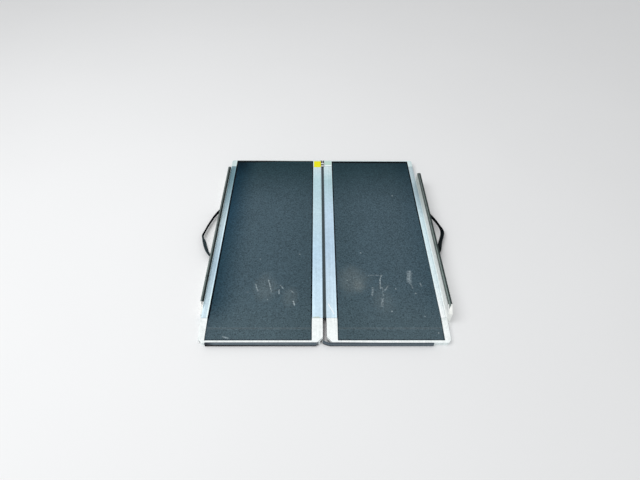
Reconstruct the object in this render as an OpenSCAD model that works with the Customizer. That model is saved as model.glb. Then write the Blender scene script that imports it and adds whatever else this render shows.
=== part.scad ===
// Folding wheelchair boarding ramp: two gritted panels joined along the middle by a double-pivot
// link hinge. X runs across the ramp, +Y towards its top end, and Z up from the ground.

/* [Ramp] */
// Length of the opened ramp, from its front edge to its top end
ramp_len = 925; // [800:1:1200]
// Height of the rails' tops over the ground
deck_h = 26; // [24:0.5:32]
// Clear gap between the two panels along the fold
gap_w = 12.1; // [11.8:0.1:15]
// Width of the gritted sheet on each panel
grit_w = 344; // [280:1:420]
// Thickness of the gritted sheet
grit_t = 1; // [0.6:0.1:2]
// How far the gritted sheet lies below the rails' tops
grit_set = 0.2; // [0:0.1:0.6]
// Bare metal between the gritted sheet and the top end
grit_stop = 8; // [5:1:20]

/* [Deck planks] */
// Thickness of the planks' top skin
skin_t = 2.5; // [1.8:0.1:4]
// Number of ribs under each panel
rib_count = 9; // [5:1:13]
// Thickness of a rib
rib_t = 2; // [1.5:0.1:4]
// Width of the foot along the bottom of a rib
rib_foot_w = 12; // [8:1:20]
// Thickness of a rib's foot
rib_foot_t = 2.5; // [1.5:0.1:4]

/* [Rails] */
// Width of the bright rail beside the fold
inner_rail_w = 35.7; // [28:0.1:50]
// Width of the left panel's outer rail, beside its curb
left_rail_w = 21.7; // [14:0.1:32]
// Width of the right panel's outer rail, beside its curb
right_rail_w = 19; // [14:0.1:32]
// Wall thickness of the hollow rails
rail_wall = 2.2; // [2:0.1:3]
// Chamfer along the rails' top edges
rail_chamfer = 0.8; // [0.4:0.1:1.2]

/* [Hinge] */
// Depth of the pivots below the rails' tops
pivot_depth = 3.8; // [3.7:0.1:4]
// Radius of the beads along the link bar
bead_r = 2; // [1.8:0.05:2.1]
// Running clearance round a bead or a pin
run_clear = 0.06; // [0.03:0.01:0.08]
// Wall round a bead's socket or a pin's bore
socket_wall = 1.5; // [1.2:0.1:1.6]
// Thickness of the link bar's web
web_t = 1.6; // [1.2:0.1:1.8]
// Gap between an end of the link bar and the toe or the top cap
bar_end_gap = 3; // [2:0.5:10]
// Radius of the pins through the top caps
pin_r = 1.5; // [1.2:0.1:1.8]
// Thickness of a link plate along the fold
plate_t = 6; // [4:0.5:8]
// Outer radius of a link plate's eye
plate_eye_r = 3.2; // [2.8:0.1:3.3]
// Gap on each side of a link plate in its slot
plate_gap = 0.8; // [0.4:0.1:1]
// Distance from the top end to the middle of the upper link plate
plate_end = 22; // [12:1:23]
// Distance between the middles of the two link plates
plate_pitch = 16; // [14:1:18]

/* [Toe] */
// Length of the sloping toe, from the front edge to its seam
toe_len = 90; // [60:1:120]
// Height of the toe's front edge
toe_front_h = 17; // [16:0.5:20]
// Thickness of the toe's skin
toe_skin = 3; // [2:0.1:4]
// Thickness of the toe's front wall
toe_front_t = 7; // [6:0.5:9]
// Thickness of the toe's back wall and of the ribs between its pockets
toe_rib_t = 3; // [2:0.1:6]
// Number of pockets under each toe
toe_pockets = 6; // [3:1:10]
// Bare metal flange between the toe's grit and its front edge
flange_w = 7.5; // [5:0.5:16]
// Distance from the front edge to the joint between the grit sheets
grit_joint = 53; // [36:1:58]
// Width of that joint
grit_joint_w = 0.6; // [0.5:0.1:2]
// Cut across the front corners beside the fold
inner_corner = 15; // [6:1:18]
// Cut across the left panel's outer front corner
left_corner = 14; // [6:1:18]
// Cut across the right panel's outer front corner
right_corner = 9; // [6:1:16]

/* [Front rubber] */
// Length of each front rubber strip
strip_len = 356; // [260:1:360]
// Height of the strip's face
strip_h = 15; // [11:0.5:15]
// Thickness of the strip in front of the toe
strip_t = 4; // [3:0.5:6]
// Gap between the strip and the ground
strip_lift = 1; // [0.5:0.5:1.5]
// Height of the strip's root in its groove
root_h = 5; // [4:0.5:6]
// Depth of the groove
root_t = 3; // [2:0.5:3.5]
// Distance from the panel's edge at the fold to a strip that sits in its place
strip_inset = 21.5; // [18:0.5:26]
// How far the right strip has slid towards the fold
strip_slide = 34.5; // [0:0.5:36]

/* [Top cap] */
// Length of the cap along the ramp
cap_len = 44; // [43:1:60]
// Thickness of the lip that lies on the sill
lip_h = 12; // [10:0.5:14]
// Thickness of the wall that closes the deck's end
cap_wall = 4; // [3:0.5:6]
// Height of that wall over the ground
cap_lift = 2; // [1:0.5:6]
// Radius of the cap's outer corner
cap_corner = 10; // [4:1:16]
// Chamfer along the lip's upper edge
lip_chamfer = 1.5; // [0.5:0.1:3]
// Thickness of the rubber pad under the lip
pad_t = 3; // [2:0.5:5]
// Width of the pad along the ramp
pad_w = 24; // [12:1:26]
// Distance from the top end to the pad
pad_end = 5; // [3:1:8]

/* [Curbs] */
// Thickness of the left curb
left_curb_w = 9.5; // [9:0.5:13]
// Thickness of the right curb
right_curb_w = 13; // [11:0.5:16]
// Wall thickness of the hollow curbs
curb_wall = 2; // [1.5:0.1:2.4]
// Height of the left curb over the rails, with its rubber
left_curb_h = 11; // [10:0.5:11.5]
// Height of the right curb over the rails, with its rubber
right_curb_h = 44; // [30:0.5:45]
// Distance from the ramp's front edge to the left curb
left_curb_start = 110; // [90:1:160]
// Distance from the ramp's front edge to the right curb
right_curb_start = 88; // [70:1:160]
// Distance from the left curb's upper end to the top end
left_curb_stop = 60; // [48:1:200]
// Distance from the right curb's upper end to the top end
right_curb_stop = 141; // [48:1:200]
// Length of the left curb's sloping nose
left_nose_len = 35; // [20:1:50]
// Length of the right curb's sloping nose
right_nose_len = 24; // [20:1:50]
// Height over the ground at which the left nose starts to slope
left_nose_z = 17; // [12:1:24]
// Height over the ground at which the right nose starts to slope
right_nose_z = 50; // [24:1:54]
// Length of the end piece behind its nose
end_seat = 3; // [2:0.5:10]
// How far the nose's face lies behind its two walls
end_set = 1.5; // [0.5:0.1:3]
// Thickness of the end piece's outer wall
end_wall = 4; // [2:0.5:5]
// Thickness of the plug in a curb's upper end
end_plug = 3; // [2:0.5:5]
// Thickness of the rubber edging over a curb's top
curb_rubber_t = 2; // [1:0.5:3]
// How far the edging reaches down over the walls
edging_lip = 3; // [2:0.5:4]
// Thickness of the edging on each side of the curb
edging_side = 0.8; // [0.5:0.1:1.5]
// Width of the metal rim beside the right curb's edging
edging_rim = 1; // [1:0.5:3.5]
// How far that rim lies below the edging's top
rim_set = 0.5; // [0.2:0.1:1]
// How far the edging's pointed tongue reaches down the nose
tongue_len = 10; // [4:1:16]
// Width of the edging's root in the curb's slot
curb_root_w = 4; // [3:0.5:5]
// Depth of the slot
curb_root_h = 4; // [3:0.5:5]
// Spacing of the grooves along a curb's inner face
groove_pitch = 10; // [8:0.5:20]
// Depth and width of those grooves
groove = 1; // [0.5:0.1:1.2]

/* [Cross bars] */
// Number of flat bars under each panel
bar_count = 3; // [2:1:5]
// Width of a bar
bar_w = 30; // [20:1:50]
// Thickness of a bar
bar_t = 4; // [3:0.5:6]
// Distance from the toe's seam and from the top cap to the nearest bar's middle
bar_inset = 110; // [40:5:200]

/* [Straps] */
// How far the right carrying strap's bow stands out from the curb; the left one reaches as far
// from the fold
strap_bow = 50; // [30:1:80]
// Thickness of the strap
strap_t = 3; // [2:0.5:4]
// Width of the strap
strap_w = 20; // [15:1:22]
// Height of the strap over the ground
strap_lift = 3; // [1:0.5:4]
// Distance between the points where a strap leaves the curb
strap_span = 244; // [160:2:300]
// Distance from the ramp's middle to the straps' middle, towards the top end
strap_shift = 20; // [-60:1:60]
// Length of a strap's end under its plate
tab_len = 26; // [20:1:40]
// Thickness of a strap plate
strap_plate_t = 2; // [1.5:0.5:3]
// Length of a strap plate
strap_plate_len = 20; // [14:1:20]
// Height of a strap plate
strap_plate_h = 16; // [10:1:20]

/* [Hidden] */
$fn = 64;
eps = 0.01;

// Places along the ramp, with the front edge at the lowest Y
front_y = -ramp_len / 2;
metal_y = front_y + strip_t;
seam_y = front_y + toe_len;
top_y = ramp_len / 2;
cap_y = top_y - cap_len;
main_len = cap_y - seam_y;

// Places across a panel, counted from the fold
edge_x = gap_w / 2;
grit_x = edge_x + inner_rail_w;
rail_x = grit_x + grit_w;

// Heights
bed_h = deck_h - grit_t - grit_set;
rib_bottom = bar_t;

// The hinge: a socket is a ring that is open over the angles through which the link's web swings
mouth_from = 65;
mouth_to = 209;
mouth_steps = 4;
pivot_x = edge_x - pivot_depth / tan(mouth_from);
pivot_z = deck_h - pivot_depth;
socket_r = bead_r + run_clear;
knuckle_r = socket_r + socket_wall;
bore_r = pin_r + run_clear;
slot_x = pivot_x + plate_eye_r + plate_gap;
plate_places = [top_y - plate_end - plate_pitch, top_y - plate_end];

// Each panel's own sizes: mirrored or not, curb's height over the rails, places where the curb
// starts and stops, length of its nose and height where the nose's slope starts, cut at the outer
// front corner, slide of the front rubber, width of the rim beside the curb's edging, width of the
// outer rail, and thickness of the curb
LEFT = [true, left_curb_h, front_y + left_curb_start, top_y - left_curb_stop,
        left_nose_len, left_nose_z, left_corner, 0, 0, left_rail_w, left_curb_w];
RIGHT = [false, right_curb_h, front_y + right_curb_start, top_y - right_curb_stop,
         right_nose_len, right_nose_z, right_corner, strip_slide, edging_rim, right_rail_w,
         right_curb_w];
function mirrored(panel) = panel[0];
function curb_top(panel) = deck_h + panel[1];
function curb_metal(panel) = curb_top(panel) - curb_rubber_t;
function nose_y(panel) = panel[2];
function curb_stop_y(panel) = panel[3];
function nose_len(panel) = panel[4];
function nose_z(panel) = panel[5];
function corner_cut(panel) = panel[6];
function slide(panel) = panel[7];
function rim(panel) = panel[8];
function rail_w(panel) = panel[9];
function curb_w(panel) = panel[10];
function outer_x(panel) = rail_x + rail_w(panel);
function face_x(panel) = outer_x(panel) + curb_w(panel);
function slope_y(panel) = nose_y(panel) + nose_len(panel);
function curb_y(panel) = slope_y(panel) + end_seat;

// Height of the toe's top surface at a place along the ramp
function toe_top(y) = toe_front_h + (deck_h - toe_front_h) * (y - metal_y) / (seam_y - metal_y);

// Points of an arc, from one angle to another
function arc(centre, radius, from, to, steps) = [
    for (i = [0:steps]) let(a = from + (to - from) * i / steps)
        [centre[0] + radius * cos(a), centre[1] + radius * sin(a)]
];

aluminium = [0.80, 0.83, 0.86];
grit_grey = [0.24, 0.30, 0.34];
rubber_grey = [0.22, 0.24, 0.27];
web_black = [0.09, 0.10, 0.12];
link_grey = [0.33, 0.36, 0.39];

// Puts a panel's piece on its own side of the fold
module on_side(panel) {
    if (mirrored(panel)) mirror([1, 0, 0]) children();
    else children();
}

// A profile drawn across the ramp, X by Z, and run along it from one place to another
module along_ramp(from_y, to_y) {
    translate([0, to_y, 0]) rotate([90, 0, 0]) linear_extrude(height = to_y - from_y) children();
}

// A profile drawn along the ramp, Y by Z, and run across it from one place to another
module across_ramp(from_x, to_x) {
    translate([from_x, 0, 0]) rotate([90, 0, 90]) linear_extrude(height = to_x - from_x) children();
}

// Ribbed planks under the grit, open below
module deck(panel) {
    rib_pitch = (grit_w - rib_t) / (rib_count - 1);
    foot_in = (rib_foot_w - rib_t) / 2;
    color(aluminium) on_side(panel) along_ramp(seam_y, cap_y) {
        translate([grit_x, bed_h - skin_t]) square([grit_w, skin_t]);
        for (i = [0:rib_count - 1]) {
            x = grit_x + i * rib_pitch;
            foot_from = max(grit_x, x - foot_in);
            foot_to = min(rail_x, x + rib_t + foot_in);
            translate([x, rib_bottom]) square([rib_t, bed_h - skin_t - rib_bottom + eps]);
            translate([foot_from, rib_bottom]) square([foot_to - foot_from, rib_foot_t]);
        }
    }
}

// A strip of the grit sheet, laid on its bed over the places given
module grit_strip(places) {
    across_ramp(grit_x, rail_x) polygon([
        for (y = places) [y, min(toe_top(y), deck_h) - grit_set - grit_t],
        for (i = [len(places) - 1:-1:0]) [places[i], min(toe_top(places[i]), deck_h) - grit_set]
    ]);
}

// Gritted sheets: a short one on the toe, and a long one that bends at the toe's seam
module grit(panel) {
    joint_y = front_y + grit_joint;
    color(grit_grey) on_side(panel) {
        grit_strip([metal_y + flange_w, joint_y - grit_joint_w / 2]);
        grit_strip([joint_y + grit_joint_w / 2, seam_y, top_y - grit_stop]);
    }
}

// Outline of a rail, X by Z, with a chamfer at the top of its inner and outer side
module rail_outline(from_x, to_x, inner_cut, outer_cut) {
    polygon([
        [from_x, 0], [to_x, 0], [to_x, deck_h - outer_cut], [to_x - outer_cut, deck_h],
        [from_x + inner_cut, deck_h], [from_x, deck_h - inner_cut]
    ]);
}

// Hollow rail between the grit and the curb
module outer_rail(panel) {
    color(aluminium) on_side(panel) along_ramp(seam_y, cap_y) difference() {
        rail_outline(rail_x, outer_x(panel), rail_chamfer, rail_chamfer);
        translate([rail_x + rail_wall, rail_wall])
            square([rail_w(panel) - 2 * rail_wall, deck_h - 2 * rail_wall]);
    }
}

// Sector over which a hinge socket stays open, seen along the ramp
module socket_mouth() {
    reach = knuckle_r / cos((mouth_to - mouth_from) / mouth_steps / 2) + 0.1;
    polygon(concat([[pivot_x, pivot_z]],
        arc([pivot_x, pivot_z], reach, mouth_from, mouth_to, mouth_steps)));
}

// Hollow rail beside the fold, with the open socket for the link bar's bead
module inner_rail(panel) {
    cell_w = (inner_rail_w - 3 * rail_wall) / 2;
    color(aluminium) on_side(panel) along_ramp(seam_y, cap_y) difference() {
        union() {
            rail_outline(edge_x, grit_x, 0, rail_chamfer);
            translate([pivot_x, pivot_z]) circle(r = knuckle_r);
        }
        for (i = [0:1])
            translate([edge_x + rail_wall + i * (cell_w + rail_wall), rail_wall])
                square([cell_w, deck_h - 2 * rail_wall]);
        translate([pivot_x, pivot_z]) circle(r = socket_r);
        socket_mouth();
    }
}

// Sloping front section, ribbed below, with a bed for the grit and a groove for the rubber
module toe(panel) {
    cut = corner_cut(panel);
    pocket_w = (outer_x(panel) - edge_x - (toe_pockets + 1) * toe_rib_t) / toe_pockets;
    pocket_from = metal_y + toe_front_t;
    pocket_to = seam_y - toe_rib_t;
    bed = toe_skin + grit_t + grit_set;
    root_z = strip_lift + (strip_h - root_h) / 2;
    color(aluminium) on_side(panel) intersection() {
        linear_extrude(height = deck_h + 1) polygon([
            [edge_x, seam_y], [edge_x, metal_y + inner_corner], [edge_x + inner_corner, metal_y],
            [outer_x(panel) - cut, metal_y], [outer_x(panel), metal_y + cut], [outer_x(panel), seam_y]
        ]);
        difference() {
            across_ramp(edge_x, outer_x(panel))
                polygon([[metal_y, 0], [seam_y, 0], [seam_y, deck_h], [metal_y, toe_front_h]]);
            across_ramp(grit_x, rail_x) polygon([
                [metal_y + flange_w, toe_top(metal_y + flange_w) - grit_set - grit_t],
                [seam_y + 1, toe_top(seam_y + 1) - grit_set - grit_t],
                [seam_y + 1, deck_h + 1], [metal_y + flange_w, deck_h + 1]
            ]);
            for (i = [0:toe_pockets - 1])
                across_ramp(edge_x + toe_rib_t + i * (pocket_w + toe_rib_t),
                            edge_x + (i + 1) * (pocket_w + toe_rib_t))
                    polygon([[pocket_from, -1], [pocket_to, -1],
                             [pocket_to, toe_top(pocket_to) - bed],
                             [pocket_from, toe_top(pocket_from) - bed]]);
            across_ramp(edge_x - 1, outer_x(panel) + 1)
                translate([metal_y - 1, root_z]) square([root_t + 1, root_h]);
        }
    }
}

// Rubber strip along the toe's front face, with its root in the toe's groove
module front_rubber(panel) {
    from_x = edge_x + strip_inset - slide(panel);
    root_z = strip_lift + (strip_h - root_h) / 2;
    color(rubber_grey) on_side(panel) across_ramp(from_x, from_x + strip_len) {
        translate([front_y, strip_lift]) square([strip_t, strip_h]);
        translate([metal_y - eps, root_z]) square([root_t + eps, root_h]);
    }
}

// Knuckles that a top cap turns on, clear of the link plates' slots
module cap_knuckles() {
    difference() {
        along_ramp(cap_y, top_y) translate([pivot_x, pivot_z]) circle(r = knuckle_r);
        for (y = plate_places)
            translate([pivot_x - knuckle_r - 1, y - plate_t / 2 - plate_gap, 0])
                cube([slot_x - pivot_x + knuckle_r + 1, plate_t + 2 * plate_gap, deck_h + 1]);
    }
}

// End piece at the top of a panel: a thin lip that lies on the sill, and a wall over the deck's end
module top_cap(panel) {
    lip_z = deck_h - lip_h;
    color(aluminium) on_side(panel) difference() {
        union() {
            translate([0, 0, lip_z]) linear_extrude(height = lip_h) polygon(concat(
                [[edge_x, top_y], [edge_x, cap_y], [outer_x(panel), cap_y]],
                arc([outer_x(panel) - cap_corner, top_y - cap_corner], cap_corner, 0, 90, 8)));
            translate([edge_x, cap_y, cap_lift])
                cube([outer_x(panel) - edge_x, cap_wall, lip_z - cap_lift + eps]);
            cap_knuckles();
        }
        for (y = plate_places)
            translate([edge_x - 1, y - plate_t / 2 - plate_gap, lip_z - 1])
                cube([slot_x - edge_x + 1, plate_t + 2 * plate_gap, lip_h + 2]);
        along_ramp(cap_y - 1, top_y + 1) translate([pivot_x, pivot_z]) circle(r = bore_r);
        across_ramp(grit_x, rail_x)
            translate([cap_y - 1, bed_h]) square([cap_len - grit_stop + 1, deck_h]);
        across_ramp(grit_x, outer_x(panel) + 1) polygon([
            [top_y - lip_chamfer, deck_h], [top_y, deck_h - lip_chamfer],
            [top_y + 1, deck_h - lip_chamfer], [top_y + 1, deck_h + 1],
            [top_y - lip_chamfer, deck_h + 1]
        ]);
    }
}

// Rubber pad under the lip
module sill_pad(panel) {
    side_gap = 12;
    color(rubber_grey) on_side(panel)
        translate([grit_x - side_gap, top_y - pad_end - pad_w, deck_h - lip_h - pad_t])
            cube([grit_w + 2 * side_gap, pad_w, pad_t]);
}

// Outline of a curb's hollow section, X by Z, standing on the ground, with a slot along its top and
// a rim beside the edging
module curb_section(panel) {
    top = curb_metal(panel);
    floor_z = curb_wall;
    roof_z = top - curb_wall - curb_root_h;
    cells = max(1, round((roof_z - floor_z) / 20));
    cell_h = (roof_z - floor_z - (cells - 1) * curb_wall) / cells;
    grooves = floor((top - edging_lip - deck_h - groove) / groove_pitch);
    difference() {
        union() {
            translate([outer_x(panel), 0]) square([curb_w(panel), top]);
            if (rim(panel) > 0)
                translate([outer_x(panel), 0]) square([rim(panel), curb_top(panel) - rim_set]);
        }
        for (i = [0:cells - 1])
            translate([outer_x(panel) + curb_wall, floor_z + i * (cell_h + curb_wall)])
                square([curb_w(panel) - 2 * curb_wall, cell_h]);
        translate([outer_x(panel) + (curb_w(panel) - curb_root_w) / 2, top - curb_root_h])
            square([curb_root_w, curb_root_h + 1]);
        if (grooves > 0)
            for (i = [1:grooves])
                translate([outer_x(panel) - 1, deck_h + i * groove_pitch - groove / 2])
                    square([1 + groove, groove]);
    }
}

// Curb along a panel's outer side
module curb(panel) {
    color(aluminium) on_side(panel)
        along_ramp(curb_y(panel), curb_stop_y(panel)) curb_section(panel);
}

// Rubber edging over the curb's top, with a lip down each bare wall and its root in the slot
module curb_rubber(panel) {
    x = outer_x(panel) - edging_side;
    z = curb_metal(panel);
    far_x = face_x(panel) + edging_side;
    near_x = rim(panel) > 0 ? outer_x(panel) + rim(panel) : x;
    near_lip = rim(panel) > 0 ? [[near_x, z]]
        : [[x, z - edging_lip], [outer_x(panel), z - edging_lip], [outer_x(panel), z]];
    color(rubber_grey) on_side(panel) {
        along_ramp(curb_y(panel), curb_stop_y(panel)) {
            polygon(concat(near_lip, [
                [far_x - edging_side, z], [far_x - edging_side, z - edging_lip],
                [far_x, z - edging_lip], [far_x, z + curb_rubber_t / 2],
                [far_x - curb_rubber_t, z + curb_rubber_t], [near_x + curb_rubber_t, z + curb_rubber_t],
                [near_x, z + curb_rubber_t / 2]
            ]));
            translate([outer_x(panel) + (curb_w(panel) - curb_root_w) / 2, z - curb_root_h])
                square([curb_root_w, curb_root_h + eps]);
        }
        edging_tongue(panel);
    }
}

// Pointed front end of the edging, which lies between the end piece's walls and down its nose
module edging_tongue(panel) {
    top = curb_top(panel);
    from_x = outer_x(panel) + curb_wall;
    to_x = face_x(panel) - end_wall;
    bend_y = slope_y(panel) + end_set;
    tip_y = slope_y(panel) - tongue_len;
    drop = (bend_y - tip_y) * (top - nose_z(panel)) / nose_len(panel);
    end_y = curb_y(panel) + eps;
    intersection() {
        across_ramp(from_x, to_x) polygon([
            [tip_y, top - end_set - drop], [bend_y, top - end_set], [end_y, top - end_set],
            [end_y, top], [bend_y, top], [tip_y, top - drop]
        ]);
        linear_extrude(height = top + 1)
            polygon([[from_x, tip_y], [to_x, slope_y(panel)], [to_x, end_y], [from_x, end_y]]);
    }
}

// Bare end piece at the curb's front end, its sloping nose set back between two walls, and the
// flat plug in the curb's upper end
module curb_end(panel) {
    y = nose_y(panel);
    top = curb_top(panel);
    color(aluminium) on_side(panel) {
        difference() {
            across_ramp(outer_x(panel), face_x(panel)) polygon([
                [y, 0], [curb_y(panel), 0], [curb_y(panel), top], [slope_y(panel), top],
                [y, nose_z(panel)]
            ]);
            across_ramp(outer_x(panel) + curb_wall, face_x(panel) - end_wall) polygon([
                [y - 1, -1], [y + end_set, -1], [y + end_set, nose_z(panel) - end_set],
                [slope_y(panel) + end_set, top - end_set], [curb_y(panel) + 1, top - end_set],
                [curb_y(panel) + 1, top + 1], [y - 1, top + 1]
            ]);
        }
        along_ramp(curb_stop_y(panel), curb_stop_y(panel) + end_plug)
            translate([outer_x(panel), 0]) square([curb_w(panel), curb_metal(panel)]);
    }
}

// Flat bars across the ribs' feet
module cross_bars(panel) {
    from_y = seam_y + bar_inset;
    pitch = (main_len - 2 * bar_inset) / (bar_count - 1);
    color(aluminium) on_side(panel)
        for (i = [0:bar_count - 1])
            translate([grit_x, from_y + i * pitch - bar_w / 2, 0]) cube([grit_w, bar_w, bar_t]);
}

// Carrying strap: a bow of webbing with its two ends flat on the curb
module strap(panel) {
    x = face_x(panel);
    bow = strap_bow + face_x(RIGHT) - face_x(panel);
    bow_r = (pow(strap_span / 2, 2) + bow * bow) / (2 * bow);
    color(web_black) on_side(panel) translate([0, 0, strap_lift]) linear_extrude(height = strap_w) {
        intersection() {
            translate([x + bow - bow_r, strap_shift]) difference() {
                circle(r = bow_r, $fn = 180);
                circle(r = bow_r - strap_t, $fn = 180);
            }
            translate([x, strap_shift - strap_span]) square([bow + 1, 2 * strap_span]);
        }
        for (s = [-1, 1])
            translate([x, strap_shift + s * (strap_span / 2 + tab_len / 2 - strap_t) - tab_len / 2])
                square([strap_t, tab_len]);
    }
}

// Plates that clamp the strap's ends to the curb
module strap_plates(panel) {
    x = face_x(panel) + strap_t;
    z = strap_lift + (strap_w - strap_plate_h) / 2;
    reach = strap_span / 2 + tab_len - strap_t - strap_plate_len / 2;
    color(aluminium) on_side(panel)
        for (s = [-1, 1])
            translate([x, strap_shift + s * reach - strap_plate_len / 2, z])
                cube([strap_plate_t, strap_plate_len, strap_plate_h]);
}

// Link bar: a thin web with a round bead along each edge, one in each panel's socket
module link_bar() {
    color(link_grey) along_ramp(seam_y + bar_end_gap, cap_y - bar_end_gap) {
        for (s = [-1, 1]) translate([s * pivot_x, pivot_z]) circle(r = bead_r);
        translate([-pivot_x, pivot_z - web_t / 2]) square([2 * pivot_x, web_t]);
    }
}

// Link plates between the two top caps, with the pins that they turn on
module link_plates() {
    pin_inset = 2;
    color(aluminium) {
        for (y = plate_places) along_ramp(y - plate_t / 2, y + plate_t / 2) {
            for (s = [-1, 1]) translate([s * pivot_x, pivot_z]) circle(r = plate_eye_r);
            translate([-pivot_x, pivot_z - plate_eye_r]) square([2 * pivot_x, 2 * plate_eye_r]);
        }
        for (s = [-1, 1]) along_ramp(cap_y + pin_inset, top_y - pin_inset)
            translate([s * pivot_x, pivot_z]) circle(r = pin_r);
    }
}

deck(LEFT);  // left_deck
grit(LEFT);  // left_grit
outer_rail(LEFT);  // left_outer_rail
inner_rail(LEFT);  // left_inner_rail
toe(LEFT);  // left_toe
front_rubber(LEFT);  // left_front_rubber
top_cap(LEFT);  // left_top_cap
sill_pad(LEFT);  // left_sill_pad
curb(LEFT);  // left_curb
curb_rubber(LEFT);  // left_curb_rubber
curb_end(LEFT);  // left_curb_end
cross_bars(LEFT);  // left_cross_bars
strap(LEFT);  // left_strap
strap_plates(LEFT);  // left_strap_plates
deck(RIGHT);  // right_deck
grit(RIGHT);  // right_grit
outer_rail(RIGHT);  // right_outer_rail
inner_rail(RIGHT);  // right_inner_rail
toe(RIGHT);  // right_toe
front_rubber(RIGHT);  // right_front_rubber
top_cap(RIGHT);  // right_top_cap
sill_pad(RIGHT);  // right_sill_pad
curb(RIGHT);  // right_curb
curb_rubber(RIGHT);  // right_curb_rubber
curb_end(RIGHT);  // right_curb_end
cross_bars(RIGHT);  // right_cross_bars
strap(RIGHT);  // right_strap
strap_plates(RIGHT);  // right_strap_plates
link_bar();
link_plates();
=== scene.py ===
"""Finish of a folding boarding ramp: gritted decks with their scuffs, satin aluminium, rubber
strips, webbing handles, labels and fixings. It is laid out as an add-on and run as a script."""

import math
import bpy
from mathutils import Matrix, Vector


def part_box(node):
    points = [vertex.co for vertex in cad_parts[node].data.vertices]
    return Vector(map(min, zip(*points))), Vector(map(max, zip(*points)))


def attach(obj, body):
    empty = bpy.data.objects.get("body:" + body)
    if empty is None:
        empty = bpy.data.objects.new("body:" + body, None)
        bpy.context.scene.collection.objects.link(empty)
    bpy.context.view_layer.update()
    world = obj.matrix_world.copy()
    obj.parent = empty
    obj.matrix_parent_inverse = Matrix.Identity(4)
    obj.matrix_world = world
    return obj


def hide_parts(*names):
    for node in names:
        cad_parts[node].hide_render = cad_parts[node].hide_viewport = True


bl_info = {
    "name": "Folding boarding ramp finish",
    "version": (1, 0, 0),
    "blender": (4, 5, 0),
    "location": "View3D > Sidebar > Ramp",
    "description": "Finishes, straps, rubber strips, labels and rivets of a folding boarding ramp",
    "category": "Object",
}

import bpy
import numpy as np
from bpy.props import FloatProperty, FloatVectorProperty, IntProperty, PointerProperty
from mathutils import Matrix

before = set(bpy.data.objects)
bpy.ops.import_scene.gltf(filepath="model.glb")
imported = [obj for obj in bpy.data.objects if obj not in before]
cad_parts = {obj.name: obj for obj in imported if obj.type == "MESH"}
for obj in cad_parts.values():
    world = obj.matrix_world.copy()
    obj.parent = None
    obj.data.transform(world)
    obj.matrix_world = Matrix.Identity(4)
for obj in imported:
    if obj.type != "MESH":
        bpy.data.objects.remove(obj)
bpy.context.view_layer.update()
MM = 0.001

# The two panels, with the sign of X on which each lies
SIDES = {"left": -1, "right": 1}


def low(node, axis):
    """Lowest coordinate of a node along an axis, in metres."""
    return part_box(node)[0]["xyz".index(axis)]


def high(node, axis):
    """Highest coordinate of a node along an axis, in metres."""
    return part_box(node)[1]["xyz".index(axis)]


# Places on the ramp that the frame gives, in metres, counted out from the fold across it
DECK_TOP = high("right_outer_rail", "z")
FOLD_EDGE = low("right_toe", "x")
GRIT_IN = low("right_grit", "x")
GRIT_OUT = high("right_grit", "x")
METAL_FRONT = low("right_toe", "y")
SEAM = high("right_toe", "y")
CAP_SEAM = low("right_top_cap", "y")
GRIT_TOP = high("right_grit", "y")
GRIT_FRONT = low("right_grit", "y")
TOP_END = high("right_top_cap", "y")
# Where two lengths of gritted sheet meet on the toe, measured back from the front
GRIT_JOINT = low("right_front_rubber", "y") + 53 * MM


def reach(node):
    """How far from the fold a node goes."""
    return max(abs(low(node, "x")), abs(high(node, "x")))


def start_of(node):
    """How far from the fold a node begins."""
    return min(abs(low(node, "x")), abs(high(node, "x")))


def light_of(colour):
    """A display colour as the linear light that a shader takes, with an alpha of 1: below
    0.04045 it is divided by 12.92, and above by the power law of 2.4."""
    c = np.asarray(colour[:3], float)
    light = np.where(c <= 0.04045, c / 12.92, ((c + 0.055) / 1.055) ** 2.4)
    return (*light.tolist(), 1.0)


def rgb(red, green, blue):
    """A display colour given in steps from 0 to 255, as fractions."""
    return (red / 255, green / 255, blue / 255)


def operation(kind):
    """A way to write one Math operation on a value and another value or a number."""
    return lambda self, other: self.math(kind, self, other)


class Value:
    """An output socket with which sums can be written."""

    def __init__(self, nodes, socket):
        self.nodes = nodes
        self.socket = socket

    def math(self, kind, *terms):
        return self.nodes.node("ShaderNodeMath", {"operation": kind}, dict(enumerate(terms)))

    __add__ = __radd__ = operation("ADD")
    __sub__ = operation("SUBTRACT")
    __mul__ = __rmul__ = operation("MULTIPLY")
    __truediv__ = operation("DIVIDE")
    __pow__ = operation("POWER")
    most = operation("MAXIMUM")
    least = operation("MINIMUM")

    def __rsub__(self, other):
        return self.math("SUBTRACT", other, self)

    def __abs__(self):
        return self.math("ABSOLUTE", self)

    def wave(self):
        return self.math("SINE", self)


class Nodes:
    """Adds nodes to a material or to the world, whose own nodes are removed first."""

    def __init__(self, owner):
        owner.use_nodes = True
        self.tree = owner.node_tree
        self.tree.nodes.clear()

    def node(self, kind, settings, sockets, output=0):
        """Adds a node: its settings and a ramp's stops first, then its sockets' values or
        links."""
        made = self.tree.nodes.new(kind)
        for name, value in settings.items():
            if name == "stops":
                self.set_stops(made.color_ramp, value)
            else:
                setattr(made, name, value)
        for name, value in sockets.items():
            if isinstance(value, Value):
                self.tree.links.new(value.socket, made.inputs[name])
            else:
                made.inputs[name].default_value = value
        return Value(self, made.outputs[output]) if made.outputs else made

    @staticmethod
    def set_stops(ramp, stops):
        """Places a ramp's stops, each a position and a display colour."""
        while len(ramp.elements) < len(stops):
            ramp.elements.new(0.5)
        for element, (position, colour) in zip(ramp.elements, stops):
            element.position = position
            element.color = light_of(colour)


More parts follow.
